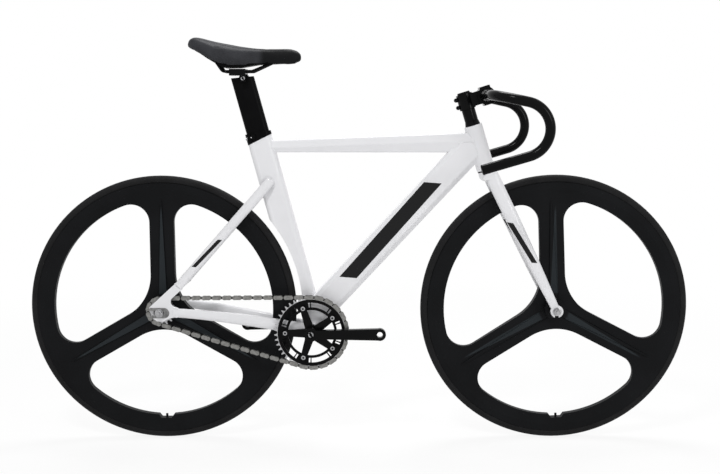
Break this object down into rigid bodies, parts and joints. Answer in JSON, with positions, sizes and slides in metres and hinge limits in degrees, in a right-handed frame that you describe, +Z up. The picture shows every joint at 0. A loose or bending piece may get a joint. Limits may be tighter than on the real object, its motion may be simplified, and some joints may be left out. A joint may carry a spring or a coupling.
{
  "type": "fixed gear bike",
  "caption": "Fixed gear bicycle with an aero-tube frame and straight fork, moulded spoke wheels, drop handlebar, aero seatpost and saddle, chainring, cog and chain; cranks carry no pedals.",
  "frame": {"origin": "on the ground midway between the two axles, in the middle of the bike's width", "axes": "+X toward the front wheel, +Y to the rider's left, +Z up"},
  "size_m": [1.647, 0.4118, 1.0062],
  "materials": {
    "frame_white": "gloss paint",
    "wheel_black": "satin moulded composite",
    "tyre_rubber": "matt rubber",
    "tube_rubber": "matt rubber",
    "bare_alloy": "brushed",
    "steel": "plated",
    "chain_steel": "oiled",
    "black_alloy": "gloss black",
    "satin_black_alloy": "satin black",
    "ring_black": "black face with bare teeth",
    "saddle_cover": "matt synthetic leather",
    "saddle_shell": "matt",
    "black_steel": "satin black",
    "plug_plastic": "matt"
  },
  "bodies": {
    "frame": {"head_tube": "frame_white", "top_tube": "frame_white", "down_tube": "frame_white", "seat_tube": "frame_white", "bottom_bracket_shell": "frame_white", "bottom_bracket_cartridge": "black_steel", "bottom_bracket_bearings": "steel", "chainstays": "frame_white", "seatstays": "frame_white", "dropouts": "frame_white", "dropout_slot_faces": "bare_alloy", "seat_collar": "satin_black_alloy", "seat_collar_bolt": "steel", "headset_bearings": "steel", "rear_axle": "steel", "rear_axle_spacers": "black_steel", "rear_axle_nuts": "steel", "chain_outer_links": "chain_steel", "chain_inner_links": "chain_steel"},
    "fork": {"fork_steerer": "steel", "fork_crown": "frame_white", "fork_blades": "frame_white", "crown_race": "steel", "compression_ring": "steel", "headset_cover": "black_alloy", "headset_spacers": "black_alloy", "stem_body": "black_alloy", "stem_faceplate": "black_alloy", "stem_bolts": "black_steel", "top_cap": "black_alloy", "top_cap_bolt": "black_steel", "star_nut": "steel", "front_axle": "steel", "front_axle_spacers": "black_steel", "front_axle_nuts": "steel"},
    "handlebar": {"handlebar": "black_alloy", "bar_end_plugs": "plug_plastic"},
    "front_wheel": {"front_wheel_casting": "wheel_black", "front_tyre": "tyre_rubber", "front_inner_tube": "tube_rubber", "front_hub_bearings": "steel"},
    "rear_wheel": {"rear_wheel_casting": "wheel_black", "rear_tyre": "tyre_rubber", "rear_inner_tube": "tube_rubber", "rear_hub_bearings": "steel", "rear_cog": "steel", "rear_lockring": "steel"},
    "crank": {"crank_arm_right": "black_alloy", "crank_arm_left": "black_alloy", "crank_spindle": "steel", "crank_bolts": "steel", "chainring": "ring_black", "chainring_bolts": "steel"},
    "seatpost": {"seatpost": "satin_black_alloy"},
    "saddle_clamp": {"saddle_clamp_cradle": "black_alloy", "saddle_clamp_plates": "black_alloy", "saddle_clamp_bolt": "steel"},
    "saddle": {"saddle_rails": "black_steel", "saddle_base": "saddle_shell", "saddle_pad": "saddle_cover"}
  },
  "joints": [
    {"name": "steering", "type": "hinge", "parent": "frame", "child": "fork", "pos_m": [0.28321, 0, 0.7895], "axis": [-0.2924, 0, 0.9563], "range_deg": [-78, 78]},
    {"name": "bar_roll", "type": "hinge", "parent": "fork", "child": "handlebar", "pos_m": [0.31319, 0, 0.86245], "axis": [0, 1, 0], "range_deg": [-15, 15]},
    {"name": "front_wheel_spin", "type": "hinge", "parent": "fork", "child": "front_wheel", "pos_m": [0.4895, 0, 0.334], "axis": [0, 1, 0], "continuous": true},
    {"name": "rear_wheel_spin", "type": "hinge", "parent": "frame", "child": "rear_wheel", "pos_m": [-0.4895, 0, 0.334], "axis": [0, 1, 0], "continuous": true},
    {"name": "crank_spin", "type": "hinge", "parent": "frame", "child": "crank", "pos_m": [-0.11679, 0, 0.279], "axis": [0, 1, 0], "continuous": true, "deforming": ["chain_outer_links", "chain_inner_links"]},
    {"name": "seatpost_slide", "type": "slide", "parent": "frame", "child": "seatpost", "axis": [-0.2588, 0, 0.9659], "range_m": [-0.08, 0.04]},
    {"name": "saddle_tilt", "type": "hinge", "parent": "seatpost", "child": "saddle_clamp", "pos_m": [-0.278, 0, 0.905], "axis": [0, 1, 0], "range_deg": [-8, 8]},
    {"name": "saddle_slide", "type": "slide", "parent": "saddle_clamp", "child": "saddle", "axis": [1, 0, 0], "range_m": [-0.01, 0.01]}
  ],
  "couplings": [
    {"joint": "crank_spin", "follows": "rear_wheel_spin", "ratio": 0.36364}
  ]
}
